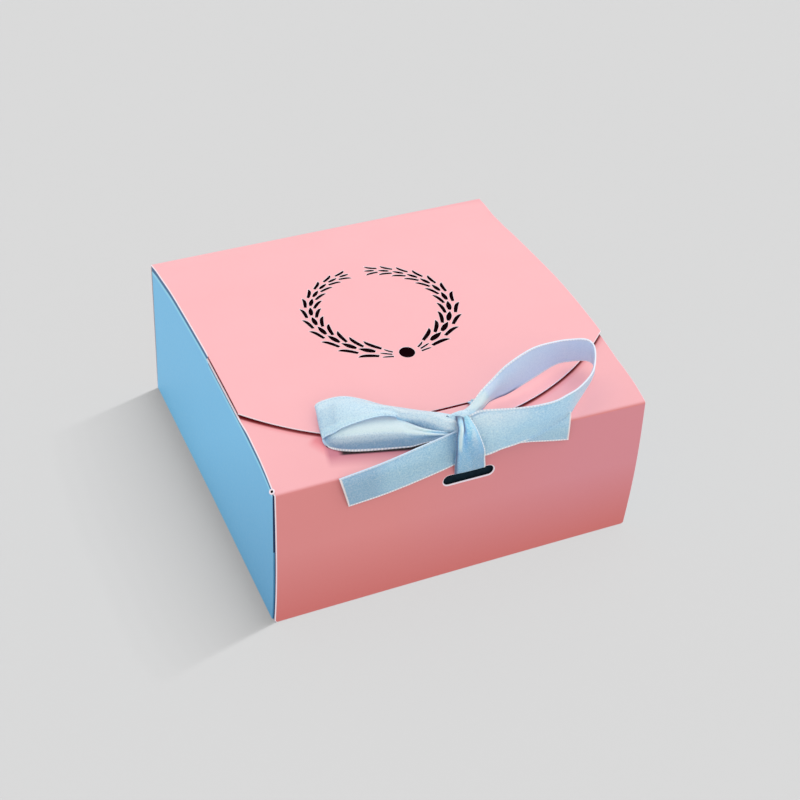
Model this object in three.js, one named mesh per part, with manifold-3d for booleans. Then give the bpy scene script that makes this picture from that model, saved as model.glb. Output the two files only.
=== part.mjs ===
// Bakery box: a shut carton of folded card, tied with a satin ribbon in a bow.
// A pink wrap makes the base, back, front, front flap and lid, and two blue panels close its sides.
// Millimetres, +Z up. The front faces -Y, and the origin is the middle of the base.

import * as THREE from 'three';
import { mergeVertices } from 'three/addons/utils/BufferGeometryUtils.js';
import Module from 'manifold-3d';

const wasm = await Module();
wasm.setup();

// Carton
const WIDTH = 150;
const DEPTH = 148;
const HEIGHT = 65;
const CARD = 0.9;
const GAP = 0.3;
const FRONT = -DEPTH / 2;
const BACK = DEPTH / 2;
const SIDE = WIDTH / 2;
const FOOT_RADIUS = 0.5;
const SIDE_RECESS = 0.4;
const CORNER_NOTCH = 1.8;

// How far the upper face of each flap stands above the top folds: [y, rise], from its fold on.
const LID_RISE = [
  [74, 0], [67, 1.8], [60, 2.9], [46, 5], [30, 6.1], [15, 6.9], [2, 7.4],
  [-12, 7.4], [-24, 7.1], [-36, 6.5], [-48, 5.4], [-60, 4.1], [-70, 2.8],
];
const FLAP_RISE = [
  [-74, 0], [-69, 1.2], [-65, 2], [-59, 2.9], [-53, 3.7], [-46, 4.3], [-38, 4.7],
  [-28, 4.8], [-14, 4.6], [0, 4.4],
];
const FLAP_END = 0;
const PROFILE_STEPS = 26;

// The lid's free edge is one arc, from side to side.
const LID_ARC = { x: 0.9, y: 40.6, radius: 107.4 };
const ARC_STEPS = 28;

// Cuts for the ribbon
const SLOT = { x: 1.65, z: 50.4, length: 20.7, height: 4, depth: 6 };
const SLIT = { x: 1.65, y: -56.9, length: 20.7, width: 1.8 };

// Laurel wreath cut through the lid: rows of three leaves on each side of a dot
const WREATH = { x: -1.5, y: 5.3, radius: 27.5, turn: -2 };
const DOT = { radius: 3.1, ring: 29.2 };
const ROWS = 11;
const rowAngle = (row) => 31.4 + 15.4 * row - 0.167 * row ** 2;
const rowLength = (row) => 6.7 - 0.25 * row;
const STEM = { angle: 17.5, length: 4.8 };
const LEAF_WIDTH = 0.33;
const SIDE_LEAF_WIDTH = 0.2;
const LEAF_STEPS = 5;

// Ribbon: each station is [one edge, other edge, bulge between them].
const RIBBON = 0.8;
const RIBBON_ACROSS = 4;
const STATION_STEPS = 3.4;
const LEFT_LOOP = [
  [[-1, -66.5, 73.5], [-2, -70, 72], -0.8],
  [[-7, -61, 73], [-8, -66, 73.5], -1.4],
  [[-19, -51.5, 72.5], [-22.5, -59.5, 74], -2],
  [[-28.5, -46, 73.5], [-34, -58, 75], -1.6],
  [[-37, -45, 76], [-42, -58.5, 75], -0.6],
  [[-43, -45, 76.5], [-47, -60, 73.5], -0.3],
  [[-49, -46.5, 75], [-51, -62, 70.5], -0.2],
  [[-47, -48, 72], [-49, -64, 69], 0],
  [[-39.5, -52, 71.5], [-43, -66, 68.5], 0.8],
  [[-28, -54.5, 72], [-32, -68, 68.5], 1.2],
  [[-21, -59.5, 73], [-25, -70, 68.5], 1.6],
  [[-13.5, -67, 72.5], [-16, -72, 69], 1.4],
  [[-4, -69.5, 72], [-4, -72, 69.5], 0.8],
];
const RIGHT_LOOP = [
  [[3, -66.5, 74.5], [4, -67.5, 71.5], 0.6],
  [[8.5, -63, 77.5], [9, -65, 72.5], 1],
  [[14.5, -62, 82], [16, -62, 72], 0.8],
  [[21, -60.5, 86], [23, -60, 72], 0.4],
  [[33, -56.5, 87], [35, -56, 72], 0.3],
  [[43.5, -54.5, 87], [46.5, -52, 73], 0.3],
  [[50.5, -55, 87], [53.5, -51.5, 73], 0.2],
  [[56, -57, 87], [60, -53.5, 73], 0],
  [[57.5, -61, 86.5], [62, -57.5, 72.5], 0],
  [[55, -67, 85], [59, -62, 71], 0],
  [[50, -72.5, 84], [53.5, -66.5, 70], 0],
  [[42.5, -76.5, 82.5], [46, -71.5, 69.5], 0.2],
  [[37.5, -78, 81.5], [41, -75, 68], 0.2],
  [[32.5, -78.5, 80.5], [35, -76.5, 66.5], 0.2],
  [[26, -77.5, 79], [27.5, -78, 65], 0.2],
  [[20.5, -74.5, 77.5], [20, -78.5, 64], 0.3],
  [[13, -71, 75.5], [10.5, -78, 63], 0.5],
  [[7.5, -69.5, 74.5], [4.5, -78, 62.5], 0.6],
  [[1.5, -71, 73], [0, -76.5, 63.5], 0.5],
];
const LEFT_TAIL = [
  [[1.5, -72.5, 73], [0.8, -76, 61], -0.3],
  [[-3, -73.2, 72.6], [-4.8, -76, 58], -0.5],
  [[-18.5, -74.2, 70.5], [-20, -75.8, 55], -0.6],
  [[-34.5, -75, 67.8], [-33.5, -75.6, 52.6], -0.4],
  [[-51, -75.3, 65.6], [-46.5, -75.2, 50.8], 0],
];
const RIGHT_TAIL = [
  [[2.5, -71, 73.5], [2, -74.8, 67], 0.3],
  [[12.5, -73, 74.5], [12, -75.8, 63], 0.4],
  [[26, -75, 73.5], [24.5, -75.8, 60.7], 0.4],
  [[35, -75.2, 72], [34, -75.6, 58.2], 0.2],
  [[42, -75.2, 70], [42.5, -75.2, 56], 0],
];
const BAND = [
  [[-4.2, -69.5, 50.7], [8.2, -69.5, 50.7], 0],
  [[-4.2, -73.6, 50.9], [8.2, -73.6, 50.9], 0],
  [[-4.6, -76.2, 53.4], [7.9, -76.2, 53.2], 0.3],
  [[-5.7, -77.4, 60.8], [6.4, -77.4, 59.7], 0.5],
  [[-6.1, -78.4, 68.2], [5.6, -78.3, 64.8], 0.8],
  [[-5.8, -77.8, 72.5], [4.2, -77.8, 69.2], 1],
  [[-4.2, -74.5, 75], [2.8, -75.2, 73.2], 1],
  [[-2.4, -69, 75.2], [2.4, -70.5, 74.8], 0.8],
  [[0, -65.5, 73.8], [5.5, -66, 73.8], 0.6],
  [[3, -60.5, 72.6], [9, -60.5, 72.6], 0.3],
  [[4, -57.4, 71], [10.8, -57.4, 71], 0],
  [[4, -56.9, 69.4], [10.8, -56.9, 69.4], 0],
  [[4, -56.9, 67.8], [10.8, -56.9, 67.8], 0],
];
const KNOT = { centre: [0, -70, 72], radii: [5.5, 5, 3.5] };

const pinkCard = new THREE.MeshStandardMaterial({ color: 0xf9b8bd, roughness: 0.6, metalness: 0 });
const blueCard = new THREE.MeshStandardMaterial({ color: 0x78b8da, roughness: 0.6, metalness: 0 });
const satin = new THREE.MeshStandardMaterial({ color: 0xa9cde6, roughness: 0.4, metalness: 0 });

const X = new THREE.Vector3(1, 0, 0);
const Y = new THREE.Vector3(0, 1, 0);
const Z = new THREE.Vector3(0, 0, 1);
const degrees = THREE.MathUtils.degToRad;

// Solids, and the joins and cuts between them

function toSolid(geometry) {
  const bare = geometry.clone();
  bare.deleteAttribute('normal');
  bare.deleteAttribute('uv');
  const merged = mergeVertices(bare, 1e-4);
  return new wasm.Manifold(new wasm.Mesh({
    numProp: 3,
    vertProperties: Float32Array.from(merged.attributes.position.array),
    triVerts: Uint32Array.from(merged.index.array),
  }));
}

function toMesh(name, solid, material) {
  const { vertProperties, triVerts } = solid.getMesh();
  const geometry = new THREE.BufferGeometry();
  geometry.setAttribute('position', new THREE.BufferAttribute(vertProperties, 3));
  geometry.setIndex(new THREE.BufferAttribute(triVerts, 1));
  geometry.computeVertexNormals();
  const mesh = new THREE.Mesh(geometry, material);
  mesh.name = name;
  return mesh;
}

function extrude(points, depth) {
  const shape = new THREE.Shape(points.map(([a, b]) => new THREE.Vector2(a, b)));
  return new THREE.ExtrudeGeometry(shape, { depth, bevelEnabled: false });
}

// An outline drawn in Y and Z, carried along X from left to right.
function alongX(points, left, right) {
  const geometry = extrude(points, right - left);
  geometry.applyMatrix4(new THREE.Matrix4().makeBasis(Y, Z, X));
  geometry.translate(left, 0, 0);
  return toSolid(geometry);
}

// An outline drawn in X and Z, carried along Y from front to back.
function alongY(points, front, back) {
  const geometry = extrude(points, back - front);
  geometry.applyMatrix4(new THREE.Matrix4().makeBasis(X, Z, Y.clone().negate()));
  geometry.translate(0, back, 0);
  return toSolid(geometry);
}

// An outline drawn in X and Y, carried up from bottom to top.
function alongZ(points, bottom, top) {
  const geometry = extrude(points, top - bottom);
  geometry.translate(0, 0, bottom);
  return toSolid(geometry);
}

function stadium(x, y, length, width, steps = 6) {
  const radius = width / 2;
  const reach = length / 2 - radius;
  const points = [];
  for (const end of [1, -1]) {
    for (let i = 0; i <= steps; i += 1) {
      const angle = Math.PI * (i / steps - 0.5);
      points.push([x + end * (reach + radius * Math.cos(angle)), y + end * radius * Math.sin(angle)]);
    }
  }
  return points;
}

// Arched flaps

function smoothLine(stations) {
  const curve = new THREE.SplineCurve(stations.map(([y, rise]) => new THREE.Vector2(y, HEIGHT + rise)));
  return curve.getPoints(PROFILE_STEPS).map((point) => [point.x, point.y]);
}

const lidTop = smoothLine(LID_RISE);
const flapTop = smoothLine(FLAP_RISE);
const lowered = (line, drop) => line.map(([y, z]) => [y, z - drop]);

function heightAt(line, y) {
  const after = line.findIndex(([at]) => (line[0][0] > line[1][0] ? at <= y : at >= y));
  const [y1, z1] = line[Math.max(after, 1)];
  const [y0, z0] = line[Math.max(after, 1) - 1];
  return z0 + ((z1 - z0) * (y - y0)) / (y1 - y0);
}

// The line that runs clear under lid and front flap, from the back fold to the front fold.
function lineUnderFlaps() {
  const drop = CARD + GAP;
  const step = FLAP_END + GAP;
  const underLid = lowered(lidTop, drop).filter(([y]) => y > step);
  const underFlap = lowered(flapTop, drop).reverse();
  return [...underLid, [step, heightAt(lidTop, step) - drop], [step, heightAt(flapTop, FLAP_END) - drop],
    ...underFlap.filter(([y]) => y < FLAP_END)];
}

function strip(top) {
  return alongX([...top, ...lowered(top, CARD).reverse()], -SIDE, SIDE);
}

// Laurel wreath

// A leaf whose middle line bends from its base to its tip, in [forward, outward] from its row.
function leafOutline(base, bend, tip, width) {
  const middle = new THREE.QuadraticBezierCurve(...[base, bend, tip].map((p) => new THREE.Vector2(...p)));
  const halfWidth = (t) => (width / 2) * Math.sin(Math.PI * (0.13 + 0.87 * t));
  const sidePoint = (t, side) => {
    const at = middle.getPoint(t);
    const along = middle.getTangent(t);
    return [at.x - side * along.y * halfWidth(t), at.y + side * along.x * halfWidth(t)];
  };
  const steps = Array.from({ length: LEAF_STEPS + 1 }, (_, i) => i / LEAF_STEPS);
  const left = steps.map((t) => sidePoint(t, 1));
  const right = steps.slice(0, -1).reverse().map((t) => sidePoint(t, -1));
  return [...left, ...right];
}

function rowOutlines(length, spread) {
  const side = (out, reach) => leafOutline(
    [spread.base[0] * length, out * spread.base[1] * length],
    [spread.bend[0] * length, out * spread.bend[1] * length],
    [spread.tip[0] * length, out * reach * length],
    SIDE_LEAF_WIDTH * length,
  );
  const centre = leafOutline([-length / 2, 0], [0, 0], [length / 2, 0], spread.width * length);
  return [centre, side(1, spread.tip[1]), side(-1, spread.tip[2])];
}

const LEAF_SPREAD = { base: [-0.74, 0.35], bend: [0.05, 0.45], tip: [0.32, 0.73, 0.73], width: LEAF_WIDTH };
const STEM_SPREAD = { base: [-0.55, 0.31], bend: [0, 0.38], tip: [0.34, 0.56, 0.56], width: 0.22 };

function placeOnRing(outline, side, angle) {
  const turned = degrees(side * angle + WREATH.turn);
  const outward = [Math.sin(turned), -Math.cos(turned)];
  const forward = [side * Math.cos(turned), side * Math.sin(turned)];
  const placed = outline.map(([along, out]) => [
    WREATH.x + outward[0] * (WREATH.radius + out) + forward[0] * along,
    WREATH.y + outward[1] * (WREATH.radius + out) + forward[1] * along,
  ]);
  return THREE.ShapeUtils.isClockWise(placed.map(([x, y]) => new THREE.Vector2(x, y)))
    ? placed.reverse() : placed;
}

function wreathOutlines() {
  const outlines = [];
  for (const side of [-1, 1]) {
    rowOutlines(STEM.length, STEM_SPREAD)
      .forEach((outline) => outlines.push(placeOnRing(outline, side, STEM.angle)));
    for (let row = 0; row < ROWS; row += 1) {
      rowOutlines(rowLength(row), LEAF_SPREAD)
        .forEach((outline) => outlines.push(placeOnRing(outline, side, rowAngle(row))));
    }
  }
  const turned = degrees(WREATH.turn);
  const dotX = WREATH.x + DOT.ring * Math.sin(turned);
  const dotY = WREATH.y - DOT.ring * Math.cos(turned);
  outlines.push(stadium(dotX, dotY, 2 * DOT.radius + 0.01, 2 * DOT.radius, 10));
  return outlines;
}

// Carton

function bodyOutline() {
  const points = [];
  for (const [y, z, start] of [[FRONT, 0, 180], [BACK, 0, 270]]) {
    const centreY = y - Math.sign(y) * FOOT_RADIUS;
    for (let i = 0; i <= 3; i += 1) {
      const angle = degrees(start + 30 * i);
      points.push([centreY + FOOT_RADIUS * Math.cos(angle), z + FOOT_RADIUS * (1 + Math.sin(angle))]);
    }
  }
  return [...points, ...lineUnderFlaps()];
}

function makeBody() {
  let body = alongX(bodyOutline(), -SIDE, SIDE);
  const pocket = [
    [FRONT + CARD, CARD], [BACK - CARD, CARD], [BACK - CARD, 2 * HEIGHT], [FRONT + CARD, 2 * HEIGHT],
  ];
  const depth = SIDE_RECESS + CARD + GAP;
  body = body.subtract(alongX(pocket, SIDE - depth, SIDE + 1));
  body = body.subtract(alongX(pocket, -SIDE - 1, -SIDE + depth));
  const slot = stadium(SLOT.x, SLOT.z, SLOT.length, SLOT.height);
  return body.subtract(alongY(slot, FRONT - 1, FRONT + SLOT.depth));
}

function makeSlit() {
  return alongZ(stadium(SLIT.x, SLIT.y, SLIT.length, SLIT.width, 4), HEIGHT - 5, HEIGHT + 15);
}

function makeFlap() {
  return strip(flapTop).subtract(makeSlit());
}

function lidPlan() {
  const [start, end] = [-SIDE, SIDE].map((x) => Math.asin((x - LID_ARC.x) / LID_ARC.radius));
  const arc = [];
  for (let i = 0; i <= ARC_STEPS; i += 1) {
    const angle = start + ((end - start) * i) / ARC_STEPS;
    arc.push([LID_ARC.x + LID_ARC.radius * Math.sin(angle), LID_ARC.y - LID_ARC.radius * Math.cos(angle)]);
  }
  return [...arc, [SIDE, BACK + 1], [-SIDE, BACK + 1]];
}

function makeLid() {
  const low = HEIGHT - 5;
  const high = HEIGHT + 15;
  let lid = strip(lidTop).intersect(alongZ(lidPlan(), low, high)).subtract(makeSlit());
  for (const outline of wreathOutlines()) {
    lid = lid.subtract(alongZ(outline, low, high));
  }
  return lid;
}

function makeSidePanel(side) {
  const edge = CARD + GAP;
  const front = FRONT + edge;
  const back = BACK - edge;
  const top = lineUnderFlaps().filter(([y]) => y < back && y > front + CORNER_NOTCH);
  const outline = [
    [front, edge], [back, edge], [back, heightAt(lidTop, back) - edge], ...top,
    [front + CORNER_NOTCH, heightAt(flapTop, front + CORNER_NOTCH) - edge],
    [front, HEIGHT - edge - CORNER_NOTCH],
  ];
  const outer = SIDE - SIDE_RECESS;
  return side > 0 ? alongX(outline, outer - CARD, outer) : alongX(outline, -outer, CARD - outer);
}

// Ribbon

// One stretch of ribbon: two edge curves, with the width between them bulging a little.
function strand(stations) {
  const edges = [0, 1].map((edge) => new THREE.CatmullRomCurve3(
    stations.map((station) => new THREE.Vector3(...station[edge])), false, 'catmullrom', 0.5,
  ));
  const bulges = new THREE.SplineCurve(stations.map((station, i) => new THREE.Vector2(i, station[2])));
  const count = Math.round((stations.length - 1) * STATION_STEPS);
  const frames = Array.from({ length: count + 1 }, (_, i) => {
    const t = i / count;
    const [first, last] = edges.map((curve) => curve.getPoint(t));
    const along = edges[0].getTangent(t).add(edges[1].getTangent(t));
    const normal = last.clone().sub(first).cross(along).normalize();
    return { first, last, normal, bulge: bulges.getPoint(t).y };
  });
  const positions = [];
  for (const { first, last, normal, bulge } of frames) {
    for (const face of [1, -1]) {
      for (let j = 0; j <= RIBBON_ACROSS; j += 1) {
        const s = face > 0 ? j / RIBBON_ACROSS : 1 - j / RIBBON_ACROSS;
        const lift = 4 * bulge * s * (1 - s) + (face * RIBBON) / 2;
        positions.push(...first.clone().lerp(last, s).addScaledVector(normal, lift).toArray());
      }
    }
  }
  const ring = 2 * (RIBBON_ACROSS + 1);
  const index = [];
  for (let i = 0; i < count; i += 1) {
    for (let j = 0; j < ring; j += 1) {
      const a = i * ring + j;
      const b = i * ring + ((j + 1) % ring);
      index.push(a, b, b + ring, a, b + ring, a + ring);
    }
  }
  for (let j = 0; j < RIBBON_ACROSS; j += 1) {
    const [a, b, c, d] = [j, j + 1, ring - 2 - j, ring - 1 - j];
    const end = count * ring;
    index.push(a, c, b, a, d, c);
    index.push(end + a, end + b, end + c, end + a, end + c, end + d);
  }
  const geometry = new THREE.BufferGeometry();
  geometry.setAttribute('position', new THREE.Float32BufferAttribute(positions, 3));
  geometry.setIndex(index);
  return toSolid(geometry);
}

function makeBow() {
  const knot = new THREE.SphereGeometry(1, 16, 10);
  knot.scale(...KNOT.radii);
  knot.translate(...KNOT.centre);
  return [LEFT_LOOP, RIGHT_LOOP, LEFT_TAIL, RIGHT_TAIL, BAND]
    .reduce((bow, stations) => bow.add(strand(stations)), toSolid(knot));
}

const box = new THREE.Group();
box.add(
  toMesh('carton_body', makeBody(), pinkCard),
  toMesh('front_flap', makeFlap(), pinkCard),
  toMesh('lid_panel', makeLid(), pinkCard),
  toMesh('side_panel_left', makeSidePanel(-1), blueCard),
  toMesh('side_panel_right', makeSidePanel(1), blueCard),
  toMesh('ribbon_bow', makeBow(), satin),
);

export default box;
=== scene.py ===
import math

import bmesh
import bpy
import numpy as np
from mathutils import Matrix, Vector
from mathutils.geometry import tessellate_polygon


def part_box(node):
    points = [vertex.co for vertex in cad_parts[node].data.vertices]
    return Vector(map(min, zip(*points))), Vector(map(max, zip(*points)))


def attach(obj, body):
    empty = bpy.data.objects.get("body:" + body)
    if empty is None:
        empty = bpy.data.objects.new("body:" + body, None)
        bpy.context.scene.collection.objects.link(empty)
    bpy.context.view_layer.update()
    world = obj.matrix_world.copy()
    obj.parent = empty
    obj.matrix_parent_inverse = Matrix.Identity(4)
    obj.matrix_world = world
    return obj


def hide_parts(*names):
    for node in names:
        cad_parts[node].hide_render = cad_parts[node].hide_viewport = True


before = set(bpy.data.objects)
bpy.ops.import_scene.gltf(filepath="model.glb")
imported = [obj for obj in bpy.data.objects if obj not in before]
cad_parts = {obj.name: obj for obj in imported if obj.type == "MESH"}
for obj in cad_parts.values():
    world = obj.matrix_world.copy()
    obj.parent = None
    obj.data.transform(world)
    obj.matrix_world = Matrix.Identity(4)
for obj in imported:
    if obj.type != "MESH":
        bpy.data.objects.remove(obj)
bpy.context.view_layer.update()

# Lengths are in millimetres up to the point where a mesh is made, and the front faces -Y.
MM = 0.001

# Carton, as far as the frame gives it
body_low, body_high = (corner / MM for corner in map(Vector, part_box("carton_body")))
SIDE = body_high.x
FRONT = body_low.y
BACK = body_high.y
HEIGHT = 65
CARD = 0.5
GAP = 0.3
FOLD_RADIUS = 0.9
FOOT_RADIUS = 0.4
BASE_INSET = 0.9

# Bevels on the printed face by the kind of cut edge, how steep they are, and the bevel on the inner face
BEVEL = {
    "ends": 0.16, "left": 0.36, "right": 0.12, "left of lid": 0.1, "under lid": 0.46,
    "leaf": 0.12, "slit": 0.1, "slot": 0.45,
}
BEVEL_SLOPE = 0.55
INNER_BEVEL = 0.07

# How far the lid with the top of the back, and the front flap, reach along the wrap's section from its ends
LID_REACH = 170
FLAP_REACH = 74

# Smallest triangle of the blank, and how near its left edge a cut face belongs to that edge
SMALLEST_AREA = 1e-7
RIM_REACH = 0.3

# How far the upper face of each flap stands above the top folds: [y, rise], from its fold on, the lid's
# curved free edge, and where the flap's left edge lies under the lid: [y, y]
LID_RISE = [
    (74, 0), (67, 1.8), (60, 2.9), (46, 5), (30, 6.1), (15, 6.9), (2, 7.4),
    (-12, 7.4), (-24, 7.1), (-36, 6.5), (-48, 5.4), (-60, 4.1), (-70, 2.8),
]
FLAP_RISE = [
    (-74, 0), (-69, 1.4), (-65, 2.4), (-59, 3.4), (-53, 4.1), (-46, 4.8), (-38, 5.2),
    (-28, 5.5), (-14, 5.8), (0, 6),
]
LID_ARC = {"x": 0.9, "y": 40.6, "radius": 107.4}
UNDER_LID = (-38, 0)

# How the soft card gives: the lid and the flap sag at the right, [y, sag], the front swells, its top fold
# droops, its foot stands out, and the flap's left edge stands out under the lid, [y, out].
LID_SAG = [(-60, 0), (-40, -0.3), (-16, 0), (0, 0.5), (14, 1.3), (34, 2.4), (48, 3.3), (60, 2.6), (74, 0)]
FLAP_SAG = [(-74, 0), (-66, 0.4), (-59, 0.9), (-52, 1.1), (-46, 0.9), (-38, 0.5), (-14, 0.5), (0, 0.8)]
FRONT_SWELL = 0.9
FRONT_SWELL_RIGHT = 0.5
FRONT_DROOP = 0.95
DROOP_REACH = 16
FRONT_INSET = 0.15
FOOT_SPREAD = 0.5
FOOT_KICK = 1.2
FOOT_KICK_REACH = 20
CORNER_LEAN = {"out": 0.6, "reach": 24}
FLAP_SPREAD = [(-45, 0), (-38, 0.4), (2, 0.35)]

# Lower corners of the front: [height, inset]
FRONT_CORNERS = [(0.2, 0.6), (0.6, 0.15), (1.4, 0)]

# Side panels: their recess behind the wrap's edge, the strip of painted shade along the front, the rounded
# upper edge that tucks in below the flaps, and how the left one flares out and leans forward near its foot
PANEL = {
    "recess": 0.3, "gap": 2.3, "strip": 0.55, "foot": 0.1, "fold": 0.9, "tuck": 9, "below": 0.12,
    "heights": (0.1, 2, 4, 7, 12, 20, 34, 50), "below top": (3.9, 2.4),
}
PANEL_FLARE = {"back": 0.3, "front": 0.85, "front at": -72, "forward": 1.7, "forward from": -45, "power": 6}

# A small relief ring at the left end of the front fold, with a dark disc of painted shade inside it
RING = {
    "place": (-75.4, -72.6, 65.1), "towards": (-0.55, -0.35, 0.75), "radius": 0.8, "thickness": 0.32,
    "dark": (0.05, -0.15), "steps": 28, "sides": 8,
}

# Cuts for the ribbon, and the dark sheets of painted shade behind the cuts: [x, x], [y, y] and how far
# behind
SLOT = {"x": 1.65, "z": 50.2, "length": 20.7, "height": 4.4}
SLIT = {"x": 1.65, "y": -56.9, "length": 20.7, "width": 1}
WREATH_SHADE_SHEET = ((-33, 33), (-29, 39), 0.16)
SLIT_SHADE_SHEET = ((SLIT["x"] - 12, SLIT["x"] + 12), (SLIT["y"] - 1.5, SLIT["y"] + 1.5), 0.12)
SLOT_SHADE_DEPTH = 0.2
SHADE_SHEET_THICKNESS = 0.2

# Wreath cut through the lid: a dot, and on each side three stems and rows of three leaves. Rows come closer
# and leaves get smaller from row to row. Leaves and stems are given in [along, out] from their own place.
WREATH = {"x": -1.5, "y": 5.3, "radius": 27.5, "turn": -2, "rows": 11, "growth": 0.24}
DOT = {"radius": 2.9, "ring": 29.2}
LEAF_ANGLE = {"first": 31.4, "step": 15.4, "closer": 0.167}
LEAF = {"length": 6.7, "shorter": 0.25, "width": 2, "narrower": 0.11, "blunt": 0.14}
MIDDLE_LEAF_SHORTER = 0.4
SIDE_LEAF = {
    "far": [(-0.76, 0.42), (-0.02, 0.6), (0.32, 0.74)],
    "near": [(0.32, 0.74), (0.2, 0.35), (-0.76, 0.28)],
}
STEM = {"angle": 16.7, "width": 0.4}
STEMS = [
    [(-2.4, 1.6), (0, 1.3), (2.2, 0.85)],
    [(-2.7, 0.2), (-0.8, -0.3), (0.5, -1.4)],
    [(-2.9, 2.95), (-0.6, 3.1), (1.4, 3.4)],
]

# Ribbon: a station is a row of points across the ribbon, from its rear or upper edge to the other.
RIBBON_WIDTH = 15
RIBBON = 0.28
SELVEDGE = 0.66
STITCH = 1.2
WEFT = 0.22
ACROSS = 36
STATION_POINTS = 5
PER_STATION = 9
LEFT_LOOP = [
    [(-1.5, -66, 73.4), (-2.3, -69.5, 74), (-3, -72, 73.2), (-3.5, -73, 71)],
    [(-6.3, -62.6, 73.3), (-6.6, -67.5, 74.6), (-6.9, -70.6, 73.8), (-8.5, -71.2, 70.8)],
    [(-12.4, -59.3, 73.5), (-12.2, -62.6, 75), (-12.2, -65.6, 74.9), (-14, -66.3, 71.3)],
    [(-19.1, -55.1, 73.6), (-20, -58.5, 75.6), (-21, -61.4, 75.6), (-21.6, -61.2, 73)],
    [(-22.5, -53.3, 73.9), (-23, -56, 75.9), (-23.4, -58.8, 76.2), (-23.6, -61.1, 75.4)],
    [(-25.6, -51.6, 74.3), (-26.8, -54.4, 76.3), (-27.8, -57, 76.7), (-28.5, -59.4, 75.8)],
    [(-31.3, -47.9, 75.5), (-33, -51.8, 77.2), (-34.5, -55.5, 77.2), (-35.9, -59.1, 75.5)],
    [(-37, -45.4, 76.5), (-39.5, -50, 77.4), (-41.5, -54.5, 77), (-43.2, -59, 74.3)],
    [(-42.3, -44, 76), (-44, -49, 76.5), (-45.5, -54, 75.6), (-46.4, -58.9, 72.8)],
    [(-47.7, -43.7, 74.5), (-48.7, -48.6, 74.2), (-49.8, -53.5, 73), (-50.4, -58.2, 70.6)],
    [(-47, -45.5, 72.3), (-48.6, -50.5, 71.2), (-49.6, -55.5, 69.9), (-49.8, -60.4, 68.4)],
    [(-42, -48.5, 71.8), (-44.5, -54, 72.2), (-46.7, -60.2, 71.6), (-47.3, -62.6, 67.9)],
    [(-36, -51, 72.5), (-39, -56.8, 73.4), (-42, -62.8, 73), (-43, -65, 67.9)],
    [(-29.5, -54, 73), (-32.5, -59.2, 73.8), (-34.9, -64.6, 73.2), (-36.4, -66.8, 67.6)],
    [(-23.4, -58.8, 73.6), (-24, -63, 73.6), (-24.7, -67, 72.8), (-26, -69, 67.4)],
    [(-20, -62.6, 73.1), (-20.3, -65.5, 72.8), (-20.8, -68, 71.8), (-21, -70.3, 67.6)],
    [(-15.1, -67.3, 72.3), (-15.2, -68.5, 72), (-15.3, -69.8, 71.2), (-15.4, -71.1, 68.6)],
    [(-9.8, -70.6, 72), (-9.9, -71, 71.6), (-10, -71.5, 70.9), (-10.1, -72, 69.4)],
    [(-4, -72.4, 71.8), (-4, -72.7, 71.3), (-4, -73, 70.8), (-4, -73.2, 70.2)],
]
RIGHT_LOOP = [
    [(-5.5, -65.8, 73.6), (-5, -66.8, 74.2), (-4.6, -67.6, 74.5), (-4.2, -68.6, 74.4)],
    [(-0.5, -65.2, 74), (0, -66.6, 74.9), (0.4, -68, 75), (0.8, -69.4, 74.4)],
    [(2.8, -65, 74.2), (3, -67, 74.8), (3.2, -68.8, 74.2), (3.5, -69.9, 73.2)],
    [(5.6, -64.8, 76.5), (7, -66.7, 76.5), (8.5, -66.4, 74.6), (10, -64.9, 72.5)],
    [(8.5, -64.3, 80.5), (10.6, -65.6, 79), (12.8, -64, 75.8), (14.6, -61.5, 72)],
    [(14.3, -62.2, 83.3), (16.2, -62.8, 80.8), (17.4, -61.6, 76.5), (18.6, -60.3, 71.8)],
    [(21, -60.5, 87.1), (22.4, -60.5, 82), (23.2, -59.8, 77), (24, -59, 71.6)],
    [(33, -56.5, 88.4), (34, -56, 83), (34.6, -55.7, 78), (35, -56, 73)],
    [(43.5, -54.5, 87.3), (44.8, -53.2, 82.8), (45.8, -52.4, 78.1), (46.5, -52, 73.5)],
    [(50.5, -55, 87), (51.8, -53.6, 82.4), (52.8, -52.3, 77.6), (53.5, -51.5, 73)],
    [(56, -57, 87), (57.5, -55.8, 82.4), (58.8, -54.7, 77.7), (60, -53.5, 73)],
    [(57.2, -61, 86.5), (58.5, -59.8, 81.8), (59.8, -58.7, 77.2), (61, -57.5, 72.7)],
    [(54.7, -67, 85), (55.6, -65.4, 80.3), (56.6, -63.7, 75.7), (57.6, -62, 71.2)],
    [(50.5, -72.5, 84), (50.6, -70.5, 79.3), (51.4, -68.5, 74.7), (52.2, -66.5, 70.2)],
    [(43.4, -76.6, 82.5), (43.7, -75.2, 78.2), (44.8, -73.5, 73.8), (46, -71.5, 69.5)],
    [(37.5, -78, 81.5), (38.7, -77.4, 77), (39.8, -76.4, 72.5), (41, -75, 68)],
    [(32.5, -78.5, 80.5), (33.3, -78.3, 75.9), (34.2, -77.6, 71.2), (35, -76.5, 66.5)],
    [(26, -76.4, 78.6), (26.5, -78, 74), (27, -78.3, 69.5), (27.5, -78, 65)],
    [(19.8, -73, 76.6), (20, -76.4, 73.2), (20, -78, 68.6), (20, -78.4, 63.9)],
    [(13.3, -70.2, 75.7), (13, -74.4, 72), (12.6, -77.2, 67.4), (12.3, -77.9, 62.5)],
    [(7.2, -68.1, 75), (7, -73.4, 71.4), (6.9, -76.6, 66.4), (6.8, -77.5, 61.1)],
    [(1.5, -68.6, 74), (1.2, -73, 71), (1, -75.8, 66.4), (0.8, -76.6, 61.6)],
]
LEFT_TAIL = [
    [(1.5, -72, 73), (0.8, -74.6, 61)],
    [(-3, -72.8, 72.6), (-4.8, -75, 58)],
    [(-18.5, -74.2, 70.5), (-20, -75.6, 55)],
    [(-34.5, -75, 67.8), (-33.5, -75.6, 52.6)],
    [(-51, -75.3, 65.6), (-46.9, -75.2, 50.9)],
]
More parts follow.
